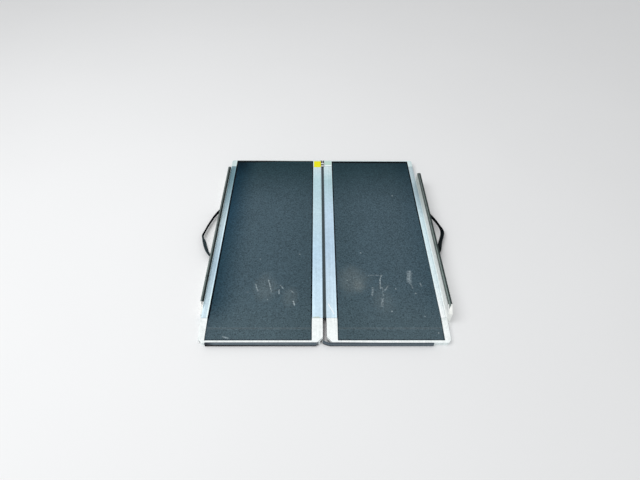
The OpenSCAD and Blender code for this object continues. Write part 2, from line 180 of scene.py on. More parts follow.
class Shader(Nodes):
    """Builds one material from expressions on its values."""

    def __init__(self, name, coordinates="Object"):
        self.material = bpy.data.materials.new(name)
        super().__init__(self.material)
        self.place = self.node("ShaderNodeTexCoord", {}, {}, coordinates)
        parts = self.node("ShaderNodeSeparateXYZ", {}, {0: self.place}).socket.node.outputs
        self.x, self.y, self.z = (Value(self, parts[name]) for name in "XYZ")

    def vector(self, kind, first, second, output=0):
        """An operation on two vectors, or on a vector and its scale."""
        sockets = {0: first, ("Scale" if kind == "SCALE" else 1): second}
        return self.node("ShaderNodeVectorMath", {"operation": kind}, sockets, output)

    def noise(self, scale, detail=3.0, roughness=0.5, turn=0.0):
        """Smooth noise from 0 to 1. A scale for each axis stretches it, after a turn about Z."""
        vector = self.place
        if isinstance(scale, tuple):
            if turn:
                vector = self.node("ShaderNodeMapping", {}, {"Vector": vector,
                                                             "Rotation": (0.0, 0.0, turn)})
            vector = self.vector("MULTIPLY", vector, scale)
            scale = 1.0
        sockets = {"Vector": vector, "Scale": scale, "Detail": detail, "Roughness": roughness}
        return self.node("ShaderNodeTexNoise", {}, sockets, "Fac")

    def glints(self, scale):
        """A value from 0 to 1 for each of many small cells about scattered centres."""
        sockets = {"Vector": self.place, "Scale": scale}
        cells = self.node("ShaderNodeTexVoronoi", {}, sockets, "Color")
        return self.node("ShaderNodeSeparateColor", {}, {0: cells})

    def ease(self, value, start, stop, first=0.0, last=1.0):
        """Passes smoothly from one value to another as the input goes from start to stop."""
        sockets = {"Value": value, "From Min": start, "From Max": stop,
                   "To Min": first, "To Max": last}
        return self.node("ShaderNodeMapRange", {"interpolation_type": "SMOOTHSTEP"}, sockets)

    def mix(self, share, first, second):
        """Mixes two colours: a share of 0 gives the first and 1 the second."""
        settings = {"data_type": "RGBA", "blend_type": "MIX", "clamp_factor": True}
        return self.node("ShaderNodeMix", settings, {0: share, 6: first, 7: second}, 2)

    def ramp(self, value, stops):
        """A colour from a value, by stops of a position and a display colour."""
        return self.node("ShaderNodeValToRGB", {"stops": stops}, {0: value}, "Color")

    def tones(self, stops):
        """A colour that passes along the ramp from stop to stop, each a Y in millimetres and a
        display colour, with Y rising."""
        first, last = stops[0][0], stops[-1][0]
        part = (self.y - first * MM) / ((last - first) * MM)
        return self.ramp(part, [((y - first) / (last - first), colour) for y, colour in stops])

    def between(self, value, start, stop, soft):
        """1 between two places and 0 beyond them, with soft edges of the width given."""
        rise = self.ease(value, start - soft, start + soft)
        return rise * self.ease(value, stop - soft, stop + soft, 1.0, 0.0)

    def shade(self, colour, amount):
        """A colour whose brightness is multiplied by a value, black below 0."""
        return self.node("ShaderNodeHueSaturation", {}, {"Color": colour, "Value": amount})

    def bump(self, height, distance, strength):
        """Bump from a height of 0 to 1 that stands for a distance in metres."""
        sockets = {"Height": height, "Distance": distance, "Strength": strength}
        return self.node("ShaderNodeBump", {}, sockets, "Normal")

    def surface(self, **sockets):
        """Ends the material with one surface whose sockets are named in lower case, with words
        joined by underscores, and gives the material back."""
        named = {name.replace("_", " ").title(): value for name, value in sockets.items()}
        named = {name.replace("Ior", "IOR"): value for name, value in named.items()}
        shown = self.node("ShaderNodeBsdfPrincipled", {}, named, "BSDF")
        self.node("ShaderNodeOutputMaterial", {}, {"Surface": shown})
        return self.material


# Surfaces from grids of points

def grid_object(name, points, uv=None, smooth_below=40):
    """A mesh object from an array of points, piece by ring by place round the ring by X, Y, Z.
    Neighbouring rings are joined by four-sided faces, and the first and last ring of each piece
    are closed by one face each. The rings turn so that faces point outwards."""
    pieces, rings, sides, _ = points.shape
    number = np.arange(pieces * rings * sides).reshape(pieces, rings, sides)
    here, along = number[:, :-1], number[:, 1:]
    quads = np.stack([here, np.roll(here, -1, 2), np.roll(along, -1, 2), along], -1)
    quads = quads.reshape(-1, 4)
    faces = quads.tolist() + number[:, 0, ::-1].tolist() + number[:, -1].tolist()
    mesh = bpy.data.meshes.new(name)
    mesh.from_pydata(points.reshape(-1, 3).tolist(), [], faces)
    if uv is not None:
        layer = mesh.uv_layers.new(name="UVMap")
        corners = np.zeros(len(mesh.loops), int)
        mesh.loops.foreach_get("vertex_index", corners)
        layer.data.foreach_set("uv", uv.reshape(-1, 2)[corners].astype(np.float32).ravel())
    mesh.polygons.foreach_set("use_smooth", np.ones(len(mesh.polygons), bool))
    mesh.set_sharp_from_angle(angle=math.radians(smooth_below))
    mesh.update()
    thing = bpy.data.objects.new(name, mesh)
    bpy.context.scene.collection.objects.link(thing)
    return thing


def rounded_outline(width, height, radius, corner_steps=4):
    """Points round a rectangle whose corners are quarter circles, anticlockwise, as an array of
    two columns about its middle."""
    angles = np.linspace(0, math.pi / 2, corner_steps + 1)
    quarter = radius * np.stack([np.cos(angles), np.sin(angles)], 1)
    turned = []
    for turn, sign_x, sign_y in ((0, 1, 1), (1, -1, 1), (2, -1, -1), (3, 1, -1)):
        c, s = round(math.cos(turn * math.pi / 2)), round(math.sin(turn * math.pi / 2))
        corner = np.array([sign_x * (width / 2 - radius), sign_y * (height / 2 - radius)])
        turned.append(corner + quarter @ np.array([[c, s], [-s, c]]))
    return np.concatenate(turned)


def sweep(path, across, up, profile):
    """Carries a profile along a path: each point is the path's point, plus the profile's first
    column times the direction across, plus its second times the direction up."""
    return (path[:, None] + profile[None, :, :1] * across[:, None]
            + profile[None, :, 1:] * up[:, None])


def smooth_route(points, count):
    """A curve through the points by cubic pieces, each of which leaves a point in the direction
    from the point before it to the point after it."""
    p = np.asarray(points, float)
    p = np.concatenate([2 * p[:1] - p[1:2], p, 2 * p[-1:] - p[-2:-1]])
    just_short = 1e-9
    t = np.linspace(0, len(points) - 1 - just_short, count)
    i = t.astype(int)
    f = (t - i)[:, None]
    before, start, stop, after = p[i], p[i + 1], p[i + 2], p[i + 3]
    return 0.5 * (2 * start + (stop - before) * f
                  + (2 * before - 5 * start + 4 * stop - after) * f ** 2
                  + (3 * start - before - 3 * stop + after) * f ** 3)


def directions(path):
    """Unit directions along a path, from each point's two neighbours."""
    step = np.gradient(path, axis=0)
    return step / np.linalg.norm(step, axis=1, keepdims=True)


def lengths_along(path):
    """Distance along a path from its start to each of its points."""
    steps = np.linalg.norm(np.diff(path, axis=0), axis=1)
    return np.concatenate([[0], np.cumsum(steps)])


def domes(name, places, facing, radius, height, steps=6, sides=16):
    """Domed rivet heads at the places, all facing one way: each is part of a ball, whose ring
    radius is the sine and whose height is the cosine of the angle from its top."""
    facing = np.asarray(facing, float)
    first = np.cross(facing, [0.0, 0.0, 1.0] if abs(facing[2]) < 0.9 else [1.0, 0.0, 0.0])
    second = np.cross(facing, first)
    flat_top = 0.12
    tilt = np.linspace(math.pi / 2, flat_top, steps)
    around = np.linspace(0, 2 * math.pi, sides, endpoint=False)
    ring = np.cos(around)[:, None] * first + np.sin(around)[:, None] * second
    shape = (radius * np.sin(tilt)[:, None, None] * ring[None]
             + height * np.cos(tilt)[:, None, None] * facing)
    return grid_object(name, np.asarray(places, float)[:, None, None] + shape[None])


def add_piece(thing, body, material):
    """Gives a new piece its material and the body that it rides on."""
    thing.data.materials.append(material)
    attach(thing, body)


def dress(material, *nodes):
    """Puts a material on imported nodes."""
    for name in nodes:
        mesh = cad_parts[name].data
        for i in range(len(mesh.materials)):
            mesh.materials[i] = material


# Settings that a user would change

def colour_setting(name, description, default):
    """A colour property, shown as it displays."""
    return FloatVectorProperty(name=name, description=description, subtype="COLOR_GAMMA", size=3,
                               min=0, max=1, default=default)


def size_setting(name, description, default):
    """A length property, in metres."""
    return FloatProperty(name=name, description=description, subtype="DISTANCE", unit="LENGTH",
                         default=default)


class RampColours(bpy.types.PropertyGroup):
    """Colours of the ramp's materials."""
    grit: colour_setting("Grit", "Gritted sheet in its middle", rgb(71, 90, 100))
    # Painted shade: the sheet is darker near its top end
    grit_top: colour_setting("Grit, top", "Gritted sheet near its top end", rgb(34, 57, 64))
    # Partly dust and partly painted reflection: the sheet is paler on the toe
    grit_toe: colour_setting("Grit, toe", "Dusty gritted sheet on the toe", rgb(78, 96, 104))
    scuff: colour_setting("Scuffs", "Pale scuffs on the grit", rgb(166, 180, 186))
    # Partly wear and partly painted reflection: the toe is near white
    toe: colour_setting("Toe", "Bright worn aluminium of the toe", rgb(244, 250, 250))
    cap: colour_setting("Top caps", "Aluminium of the top caps", rgb(202, 219, 220))
    curb: colour_setting("Curbs", "Aluminium of the curbs", rgb(250, 254, 250))
    plank: colour_setting("Planks", "Mill-finish aluminium below", rgb(188, 193, 197))
    link: colour_setting("Link bar", "Dull and soiled link bar", rgb(112, 130, 136))
    steel: colour_setting("Plates", "Brushed steel plates", rgb(246, 249, 250))
    rubber: colour_setting("Rubber", "Rubber pads", rgb(44, 54, 62))
    strip: colour_setting("Front strips", "Dusty rubber along the toes", rgb(92, 105, 114))
    edging: colour_setting("Edging", "Rubber edging along the curbs", rgb(62, 76, 75))
    webbing: colour_setting("Webbing", "Carrying straps", rgb(2, 7, 11))
    sticker: colour_setting("Sticker", "Blank yellow sticker", rgb(234, 230, 8))
    patch: colour_setting("Patch", "Pale square on the right panel", rgb(192, 219, 208))


class RampSizes(bpy.types.PropertyGroup):
    """Sizes of the pieces that are made here."""
    web_thickness: size_setting("Webbing thickness", "Thickness of the straps", 2.0 * MM)
    web_twist: FloatProperty(name="Webbing twist", description="How far the straps lie over",
                             subtype="ANGLE", default=math.radians(36))
    curl: size_setting("Curl", "How far the front rubber's free end bends back", 9 * MM)
    curl_length: size_setting("Curl length", "Length of the bent end", 26 * MM)
    sticker_thickness: size_setting("Sticker thickness", "Thickness of the labels", 0.25 * MM)
    rivet_radius: size_setting("Rivet radius", "Radius of the rivet heads", 2.6 * MM)
    rivet_height: size_setting("Rivet height", "Height of the rivet heads", 1.3 * MM)
    steps: IntProperty(name="Steps", description="Rings along a strap", min=20, default=160)


class RampStage(bpy.types.PropertyGroup):
    """Floor, light and camera."""
    floor: size_setting("Floor", "Side of the floor", 14.0)
    floor_colour: colour_setting("Floor colour", "Pale floor", rgb(238, 239, 240))
    world_light: FloatProperty(name="World light", description="Light from all round",
                               default=0.62)
    key_power: FloatProperty(name="Key light", description="Power of the large lamp",
                             subtype="POWER", unit="POWER", default=60.0)
    camera_place: FloatVectorProperty(name="Camera", description="Place of the camera", size=3,
                                      subtype="TRANSLATION", unit="LENGTH",
                                      default=(-28.9 * MM, -1166.0 * MM, 1288.1 * MM))
    camera_down: FloatProperty(name="Look down", description="Angle below the level",
                               subtype="ANGLE", default=math.radians(47.905))
    camera_aside: FloatProperty(name="Look aside", description="Angle to the right",
                                subtype="ANGLE", default=math.radians(0.777))
    camera_roll: FloatProperty(name="Roll", description="Turn about the view",
                               subtype="ANGLE", default=math.radians(0.658))
    lens: FloatProperty(name="Lens", description="Focal length", subtype="DISTANCE_CAMERA",
                        unit="CAMERA", default=25.03)


# Finishes

# Scuffs on the grit of each panel: start X and Y, stop X and Y and half width, in millimetres, and
# the strength
LEFT_SCUFFS = (
    (-240, -235, -229, -264, 1.6, 0.55),
    (-196, -216, -188, -246, 1.8, 0.7),
    (-188, -246, -183, -267, 1.5, 0.6),
    (-153, -239, -143, -252, 1.6, 0.6),
    (-157, -259, -156, -275, 1.6, 0.8),
    (-117, -261, -106, -273, 1.4, 0.5),
    (-106, -306, -102, -321, 2.4, 0.9),
    (-234, -120, -233, -121, 1.8, 0.45),
    (-90, -96, -89, -97, 2.2, 0.5),
    (-194, -299, -194, -300, 2.0, 0.35),
    (-265, -268, -264, -269, 2.0, 0.35),
    (-328, -438, -310, -443, 2.0, 0.5),
)
RIGHT_SCUFFS = (
    (160, -195, 208, -195, 1.4, 0.4),
    (205, -195, 198, -216, 1.6, 0.6),
    (198, -216, 196, -250, 1.8, 0.8),
    (196, -250, 204, -251, 2.4, 0.45),
    (212, -260, 223, -242, 2.2, 0.5),
    (204, -252, 203, -285, 1.8, 0.25),
    (170, -250, 165, -282, 2.8, 0.4),
    (199, -298, 195, -325, 3.2, 0.5),
    (306, -182, 301, -224, 7.0, 0.3),
    (310, -177, 303, -199, 2.2, 0.55),
    (303, -199, 301, -222, 3.4, 0.6),
    (300, -186, 296, -212, 2.2, 0.4),
    (303, -226, 309, -252, 2.0, 0.35),
    (316, -186, 296, -208, 1.5, 0.45),
    (338, -230, 341, -242, 1.8, 0.45),
    (316, -274, 317, -275, 2.2, 0.9),
    (249, -254, 250, -255, 1.8, 0.5),
    (225, -346, 226, -347, 2.0, 0.95),
    (137, -90, 138, -91, 2.0, 0.5),
    (368, -426, 369, -427, 1.8, 0.8),
    (333, -366, 334, -367, 1.8, 0.5),
    (82, -217, 83, -218, 1.8, 0.5),
    (291, 226, 292, 225, 2.2, 1.0),
    (80, 450, 86, 450, 1.8, 0.8),
)
# The long scratch at the right strip's foot, given in the same way
STRIP_SCRATCH = ((13, -317, 32, -357, 1.1, 0.9),)
# Pale smudges on the grit of each panel: middle, half width and half length, in millimetres, and
# the strength
LEFT_SMUDGES = (
    (-205, -250, 42, 60, 0.14),
    (-120, -290, 26, 44, 0.12),
)
RIGHT_SMUDGES = (
    (102, -222, 60, 76, 0.19),
    (122, -244, 22, 34, 0.2),
    (200, -300, 44, 60, 0.10),
)

# Colours along the ramp, each at a Y in millimetres: of the painted shade on the grit, and of the
# metal of the rails, the tall curb and the strips, with painted reflection that makes it brighter
# towards the toe and painted shade that makes it darker towards the top
GRIT_SHADE = (
    (-100, rgb(31, 60, 75)),
    (100, rgb(26, 60, 79)),
    (300, rgb(7, 44, 61)),
)
LEFT_RAIL = (
    (-350, rgb(208, 228, 237)),
    (-150, rgb(172, 196, 211)),
    (60, rgb(190, 209, 217)),
    (190, rgb(150, 175, 185)),
    (330, rgb(108, 139, 149)),
)
RIGHT_RAIL = (
    (-360, rgb(250, 254, 255)),
    (-220, rgb(228, 244, 249)),
    (80, rgb(216, 237, 244)),
    (170, rgb(186, 209, 219)),
    (260, rgb(166, 188, 198)),
    (350, rgb(176, 195, 202)),
)
# The tall curb's colour where no painted shade lies on it, also used for the curb ends
UNSHADED_CURB = rgb(252, 254, 251)
TALL_CURB = (
    (60, UNSHADED_CURB),
    (150, rgb(226, 231, 227)),
    (250, rgb(214, 219, 214)),
)
LEFT_STRIP = (
    (-330, rgb(210, 234, 249)),
    (-100, rgb(191, 219, 238)),
    (120, rgb(194, 220, 230)),
    (320, rgb(184, 214, 222)),
    (410, rgb(202, 222, 228)),
)
RIGHT_STRIP = (
    (-330, rgb(210, 232, 245)),
    (-60, rgb(184, 209, 229)),
    (120, rgb(191, 215, 233)),
    (320, rgb(177, 208, 215)),
    (410, rgb(203, 223, 227)),
)


# Display colours of the dirt, dust and wear on the ramp
MARKS = {
    "shaded corner": rgb(0, 16, 26),
    "shade by the fold": rgb(30, 54, 60),
    "dust": rgb(140, 148, 146),
    "sheet joint": rgb(196, 204, 206),
    "dark edge line": rgb(3, 9, 15),
    "fine scratch": rgb(250, 252, 252),
    "long scratch": rgb(252, 254, 254),
    "seam": rgb(70, 78, 84),
    "fold shade": rgb(10, 16, 19),
    "yellow stain": rgb(178, 172, 108),
    "worn cap": rgb(240, 250, 252),
    "dark line above grit": rgb(14, 20, 22),
    "dark between caps": rgb(58, 66, 60),
    "crease": rgb(60, 68, 76),
    "glue": rgb(84, 94, 99),
    "front edge": rgb(84, 94, 104),
    "curb groove": rgb(150, 162, 164),
    "dirt under edging": rgb(74, 86, 84),
    "curb joint": rgb(130, 146, 150),
    "dust on rubber": rgb(122, 130, 134),
    "worn edging": rgb(158, 172, 168),
    "shaded edging": rgb(9, 22, 24),
    "strip top": rgb(52, 62, 72),
    "strip end": rgb(34, 38, 46),
    "darker foot": rgb(8, 11, 13),
    "faded webbing": rgb(58, 66, 70),
    "dust on webbing": rgb(56, 70, 75),
}


def mark(s, shown, share, name):
    """Covers a shader's colour with a share of one of the marks."""
    return s.mix(share, shown, light_of(MARKS[name]))


def scuff_mask(s, place, scuffs):
    """How strongly a point is scuffed, seen from above: the most of all scuffs, each of which
    falls from its strength to 0 with the distance to the line between its two ends."""
    flat = s.vector("MULTIPLY", place, (1.0, 1.0, 0.0))
    found = None
    for ax, ay, bx, by, half_width, strength in scuffs:
        start = (ax * MM, ay * MM, 0.0)
        along = ((bx - ax) * MM, (by - ay) * MM, 0.0)
        square = along[0] ** 2 + along[1] ** 2
        offset = s.vector("SUBTRACT", flat, start)
        part = tuple(v / square for v in along)
        share = s.vector("DOT_PRODUCT", offset, part, "Value").most(0.0).least(1.0)
        foot = s.vector("SCALE", along, share)
        distance = s.vector("DISTANCE", offset, foot, "Value")
        scuff = s.ease(distance, half_width * MM * 0.4, half_width * MM * 1.9, strength, 0.0)
        found = scuff if found is None else found.most(scuff)
    return found


def sheet_tone(s, colours, shadow):
    """Tone of a gritted sheet: painted shade near its top, paler on the toe, partly dust and
    partly painted reflection, and painted shade along its outer side, most at the top corner, and
    a little beside the fold."""
    up = s.ease(s.y, 0.12, TOP_END + 0.03)
    shown = s.mix(up, light_of(colours.grit), light_of(colours.grit_top))
    shown = s.mix(s.ease(s.y, -0.2, METAL_FRONT), shown, light_of(colours.grit_toe))
    # How far the painted shade along the outer side reaches: only weakly onto the toe
    shade_reach = s.ease(s.y, METAL_FRONT + 0.03, -0.29, 0.15, 1.0)
    outer = s.ease(abs(s.x), 0.27, GRIT_OUT + 0.01, 0.0, shadow) * shade_reach
    shown = s.mix(outer, shown, s.tones(GRIT_SHADE))
    corner = s.ease(s.y, 0.33, 0.45, 0.0, shadow) * s.ease(abs(s.x), 0.29, 0.37, 0.0, 0.8)
    shown = mark(s, shown, corner, "shaded corner")
    # Painted shade in a band beside the fold
    inner = s.ease(abs(s.x), GRIT_IN, 0.19, 0.2, 0.0)
    return mark(s, shown, inner, "shade by the fold")


def smudged(s, shown, smudges, cloud, clump):
    """Lays the smudges of dust on a colour: each is an oval whose edge two noises break up."""
    for x, y, half_x, half_y, strength in smudges:
        across = (s.x - x * MM) / (half_x * MM)
        along = (s.y - y * MM) / (half_y * MM)
        away = (across ** 2.0 + along ** 2.0) ** 0.5
        soft = s.ease(away + (cloud - 0.5) * 1.6 + (clump - 0.5) * 0.5, 0.3, 1.3, strength, 0.0)
        shown = mark(s, shown, soft, "dust")
    return shown


def edge_darkening(s, outer_widening, top_widening):
    """How dark a ragged line along a gritted sheet's edges is, half as strong on the toe. The
    outer pair gives how much wider it is at the sheet's outer edge, by the toe and higher up, and
    the top pair how much wider it is at the top, near the fold and far away."""
    ragged = (s.noise(85.0, 3.0) - 0.5) * (4.0 * MM)
    above = s.ease(s.y, SEAM - 12 * MM, SEAM + 4 * MM)
    inner = abs(s.x) - GRIT_IN
    outer = GRIT_OUT - abs(s.x) - above * s.ease(s.y, -0.2, 0.1, *outer_widening)
    top = (GRIT_TOP - s.y) * 1.6 - s.ease(abs(s.x), 0.15, 0.34, *top_widening)
    edge = inner.least(outer).least(top).least(s.y - GRIT_FRONT)
    return s.ease(edge + ragged, 3.0 * MM, 4.8 * MM, 0.97, 0.0) * (0.5 + 0.5 * above)


def grit_finish(name, colours, scuffs, smudges, shadow, outer_widening, top_widening):
    """Coarse gritted sheet: grains as bump and speckle, clouds of dust, soft smudges, scuffs that
    the grains break up, a faint joint across the toe and a dark line along the edges. The shadow
    is how strong the painted shade along its outer side is."""
    s = Shader(name)
    grain = s.noise(1100.0, 2.0, 0.6)
    coarse = s.noise(330.0, 2.0, 0.6)
    clump = s.noise(210.0, 2.0, 0.5)
    cloud = s.noise(9.0, 4.0, 0.55)
    shown = smudged(s, sheet_tone(s, colours, shadow), smudges, cloud, clump)
    wobble = s.vector("SCALE", (3 * MM, 3 * MM, 0.0), s.noise(60.0, 2.0) - 0.5)
    scuffed = scuff_mask(s, s.vector("ADD", s.place, wobble), scuffs)
    scuffed = scuffed * s.ease(coarse * 0.6 + clump * 0.4, 0.38, 0.58, 0.3, 1.0)
    shown = s.mix(scuffed, shown, light_of(colours.scuff))
    level = (0.68 + 0.30 * grain + 0.20 * (cloud - 0.5) + 1.2 * (coarse - 0.5)
             + 1.3 * (clump - 0.5) + 0.26 * s.glints(420.0))
    shown = s.shade(shown, level)
    joint = s.ease(abs(s.y - GRIT_JOINT), 1.5 * MM, 5 * MM, 0.06, 0.0)
    shown = mark(s, shown, joint, "sheet joint")
    shown = mark(s, shown, edge_darkening(s, outer_widening, top_widening), "dark edge line")
    height = s.bump(grain * 0.6 + coarse * 0.4, 1.1 * MM, 0.55)
    return s.surface(base_color=shown, roughness=0.86 - 0.1 * scuffed, normal=height,
                     specular_ior_level=0.1)


def metal_finish(name, colour, roughness, streak=0.16, speckle=0.16, blotch=0.34, grime=0.25,
                 scratch=0.5, metallic=0.9, lip=0.0, seams=(), fold_shade=1.0, extra=None):
    """Drawn aluminium: fine streaks along the ramp, satin blotches, long scratches, grime in
    clouds, a painted highlight along the lip beside the grit, painted shade down in the fold,
    darker the deeper it lies, and a dark hairline at each seam. The colour is one display colour
    or stops along the ramp. The extra step takes the shader and the colour, and gives the colour
    back with what only this surface has."""
    s = Shader(name)
    lines = s.noise((900.0, 4.0, 900.0), 3.0, 0.6)
    bands = s.noise((190.0, 1.4, 190.0), 2.0)
    spots = s.noise(260.0, 2.0, 0.6)
    patches = s.noise(95.0, 3.0, 0.6)
    cloud = s.noise(7.0, 4.0, 0.6)
    shown = s.tones(colour) if isinstance(colour[0], tuple) else light_of(colour)
    cut_one = s.ease(s.noise((2200.0, 9.0, 9.0), 1.0, 0.5, 0.12), 0.70, 0.76)
    cut_two = s.ease(s.noise((14.0, 1800.0, 9.0), 1.0, 0.5, 0.35), 0.73, 0.78)
    cuts = cut_one.most(cut_two) * s.ease(s.noise(16.0), 0.4, 0.62)
    level = (1.0 + streak * (lines - 0.5) + 2.0 * streak * (bands - 0.5) + speckle * (spots - 0.5)
             + blotch * (patches - 0.5) + grime * (cloud - 0.5).least(0.0))
    # Painted highlight along the lip beside the grit
    if lip:
        beside = abs(abs(s.x) - GRIT_IN).least(abs(abs(s.x) - GRIT_OUT))
        level = level + s.ease(beside, 4.0 * MM, 6.5 * MM, lip, 0.0)
    shown = s.shade(shown, level)
    if extra is not None:
        shown = extra(s, shown)
    shown = mark(s, shown, cuts * scratch, "fine scratch")
    for y in seams:
        shown = mark(s, shown, s.ease(abs(s.y - y), 0.2 * MM, 0.9 * MM, 0.7, 0.0), "seam")
    # Painted shade down in the fold, darker the deeper it lies, where the surface is also duller
    # and less metallic
    fold = s.ease(abs(s.x), FOLD_EDGE + 0.1 * MM, FOLD_EDGE + 0.9 * MM, 1.0, 0.0)
    dirt = fold * s.ease(s.z, DECK_TOP - 3.0 * MM, DECK_TOP - 0.4 * MM, 0.97, 0.3) * fold_shade
    normal = s.bump(lines * 0.4 + spots * 0.4 + patches * 0.2 - cuts * 0.5, 0.12 * MM, 0.4)
    rough = roughness + 0.14 * (spots - 0.5) + 0.12 * (cloud - 0.5) - 0.1 * cuts + 0.3 * dirt
    return s.surface(base_color=mark(s, shown, dirt, "fold shade"), roughness=rough,
                     metallic=metallic - metallic * dirt, normal=normal)


def stained_strip(s, shown):
    """A yellowish stain beside the left strip's lower seam."""
    away = s.ease(s.y - SEAM + s.noise(160.0, 2.0) * (9 * MM), 5 * MM, 13 * MM, 1.0, 0.0)
    stain = away * s.between(abs(s.x), 15 * MM, 38 * MM, 3 * MM) * 0.5
    return mark(s, shown, stain, "yellow stain")


def marked_strip(s, shown):
    """One slanting scratch at the right strip's foot."""
    return mark(s, shown, scuff_mask(s, s.place, STRIP_SCRATCH), "long scratch")


def cap_marks(s, shown):
    """A pale worn line across the right cap below the label, a dark line above each gritted sheet,
    wider on the left, and a darker band where the caps meet."""
    worn = s.between(s.y, 423.5 * MM, 430 * MM, 0.8 * MM)
    worn = worn * s.between(s.x, 7 * MM, 40 * MM, 1.0 * MM)
    shown = mark(s, shown, worn * 0.9, "worn cap")
    left_stop = s.ease(s.x, -0.3, -0.1, -2.4 * MM, -4.2 * MM)
    right_stop = s.ease(s.x, -0.02, 0.02, 0.0, -6.2 * MM)
    past = s.y - TOP_END - left_stop.least(right_stop)
    line = s.between(abs(s.x), GRIT_IN, GRIT_OUT, 1.0 * MM)
    line = line * s.ease(past, 0.0, 0.8 * MM, 0.95, 0.0)
    shown = mark(s, shown, line, "dark line above grit")
    inner = s.ease(abs(s.x), 7.2 * MM, 8.6 * MM, 0.9, 0.0)
    return mark(s, shown, inner, "dark between caps")


def toe_marks(s, shown):
    """A dark crease beside the corner cut at the fold, dark glue on the toe's bed under the grit,
    so that the sheet's edge shows as a thin line, and a painted shadow line along the front
    edge, which fades towards the right."""
    cut_line = FOLD_EDGE + METAL_FRONT + 15 * MM
    off = (abs(s.x) + s.y - cut_line) * math.sqrt(0.5) + (s.noise(90.0, 2.0) - 0.5) * (3 * MM)
    crease = s.between(off, 1.2 * MM, 3.0 * MM, 0.5 * MM) * s.ease(s.z, 15 * MM, 16.5 * MM)
    shown = mark(s, shown, crease * 0.8, "crease")
    front_top = 17 * MM
    sheet = 2.5 * MM
    slope = (DECK_TOP - front_top) / (SEAM - METAL_FRONT)
    below = (s.y - METAL_FRONT) * slope + (front_top - sheet)
    bed = s.between(abs(s.x), GRIT_IN + 0.4 * MM, GRIT_OUT - 0.4 * MM, 0.1 * MM)
    bed = bed * s.ease(s.z - below, 0.0, 0.4 * MM) * s.ease(s.y - GRIT_FRONT, 0.3 * MM, 0.6 * MM)
    shown = mark(s, shown, bed * 0.95, "glue")
    # Painted shadow line at the flange's front edge, above the front strip
    covered = s.ease(s.x, -384 * MM, -382 * MM) * s.ease(s.x, 40 * MM, 220 * MM, 1.0, 0.0)
    edge = s.ease(s.y - METAL_FRONT, 1.2 * MM, 2.0 * MM, 0.85, 0.0) * covered
    return mark(s, shown, edge, "front edge")


def curb_lines(s, shown):
    """Dirt in a groove along the tall curb's inner face, and a painted shadow under the edging at
    its top.
    """
    face = start_of("right_curb")
    inner = s.ease(s.x, face + 1.2 * MM, face + 2.0 * MM, 1.0, 0.0)
    groove = s.between(s.z, 37 * MM, 41 * MM, 1.5 * MM) * inner
    patchy = s.ease(s.noise(30.0, 3.0), 0.3, 0.6, 0.5, 1.0)
    shown = mark(s, shown, groove * patchy * 0.45, "curb groove")
    # Painted shadow under the edging
    under = s.ease(s.z, 64.5 * MM, 66.5 * MM, 0.0, 0.9) * inner
    return mark(s, shown, under, "dirt under edging")


def bright_sides(s, shown):
    """Painted highlight: brighter metal along the left rail's outer side, and along its inner side
    up to the painted shade.
    """
    side = reach("left_outer_rail")
    outer = s.ease(abs(s.x), side - 9 * MM, side - 4 * MM)
    inner = s.ease(abs(s.x) - GRIT_OUT, 3 * MM, 8 * MM, 1.0, 0.0)
    unshaded = s.ease(s.y, 0.1, 0.24, 1.0, 0.0)
    return s.shade(shown, 1.0 + 0.2 * outer + 0.16 * inner * unshaded)


def curb_joint(s, shown):
    """A fine dark line on the right rail along the foot of its curb."""
    line = s.between(abs(s.x), 399.5 * MM, 402.0 * MM, 0.8 * MM)
    return mark(s, shown, line * 0.35, "curb joint")


def rubber_finish(name, colour, dust=0.5, wear=None):
    """Matt rubber: dust in clouds and worn grain. The wear step takes the shader and the colour,
    and gives the colour back with what only this surface has."""
    s = Shader(name)
    cloud = s.noise(26.0, 4.0, 0.6)
    grain = s.noise(1100.0, 2.0, 0.6)
    flecks = s.noise(170.0, 3.0, 0.6)
    shown = mark(s, light_of(colour), s.ease(cloud, 0.42, 0.75, 0.0, dust), "dust on rubber")
    if wear is not None:
        shown = wear(s, shown)
    shown = s.shade(shown, 0.62 + 0.3 * grain + 0.5 * flecks)
    return s.surface(base_color=shown, roughness=0.62 + 0.25 * cloud,
                     normal=s.bump(grain, 0.25 * MM, 0.4), specular_ior_level=0.25)


def edging_light_and_shade(side):
    """Painted light and shade on one curb's edging: a painted highlight along it, painted shade on
    one side, and painted shade that makes all of it darker towards the top end."""
    near, far = start_of(side + "_curb_rubber"), reach(side + "_curb_rubber")
    if side == "right":
        worn = near + 4.0 * MM
        shaded = far - 5.0 * MM
        dark = (0.0, 0.6)
        brightness = (1.0, 0.6)
    else:
        worn = far - 3.2 * MM
        shaded = near + 5.2 * MM
        dark = (0.85, 0.0)
        brightness = (0.75, 0.6)

    def wear(s, shown):
        # A painted highlight along the edging
        pale = s.ease(abs(abs(s.x) - worn), 0.9 * MM, 3.0 * MM, 0.6, 0.0)
        patchy = s.ease(s.noise(60.0, 2.0), 0.3, 0.5, 0.5, 1.0)
        shown = mark(s, shown, pale * patchy, "worn edging")
        beyond = s.ease(abs(s.x), shaded - 1.2 * MM, shaded + 0.8 * MM, *dark)
        shown = mark(s, shown, beyond, "shaded edging")
        # Painted shade: all of the edging darker towards the top end
        return s.shade(shown, s.ease(s.y, -0.35, 0.3, *brightness))

    return wear


def strip_darkening(s, shown):
    """Darker rubber along a front strip's top on the right and at its end on the left, and darker
    rubber near the ground, up to a height that rises to the left."""
    top = s.ease(s.z, 15 * MM, 16 * MM) * s.ease(s.x, -0.05, 0.02)
    shown = mark(s, shown, top * 0.6, "strip top")
    shown = mark(s, shown, s.ease(s.x, -378 * MM, -350 * MM, 0.9, 0.0), "strip end")
    above = s.z + s.x * 0.014
    return mark(s, shown, s.ease(above, 4.0 * MM, 6.5 * MM, 0.95, 0.0), "darker foot")


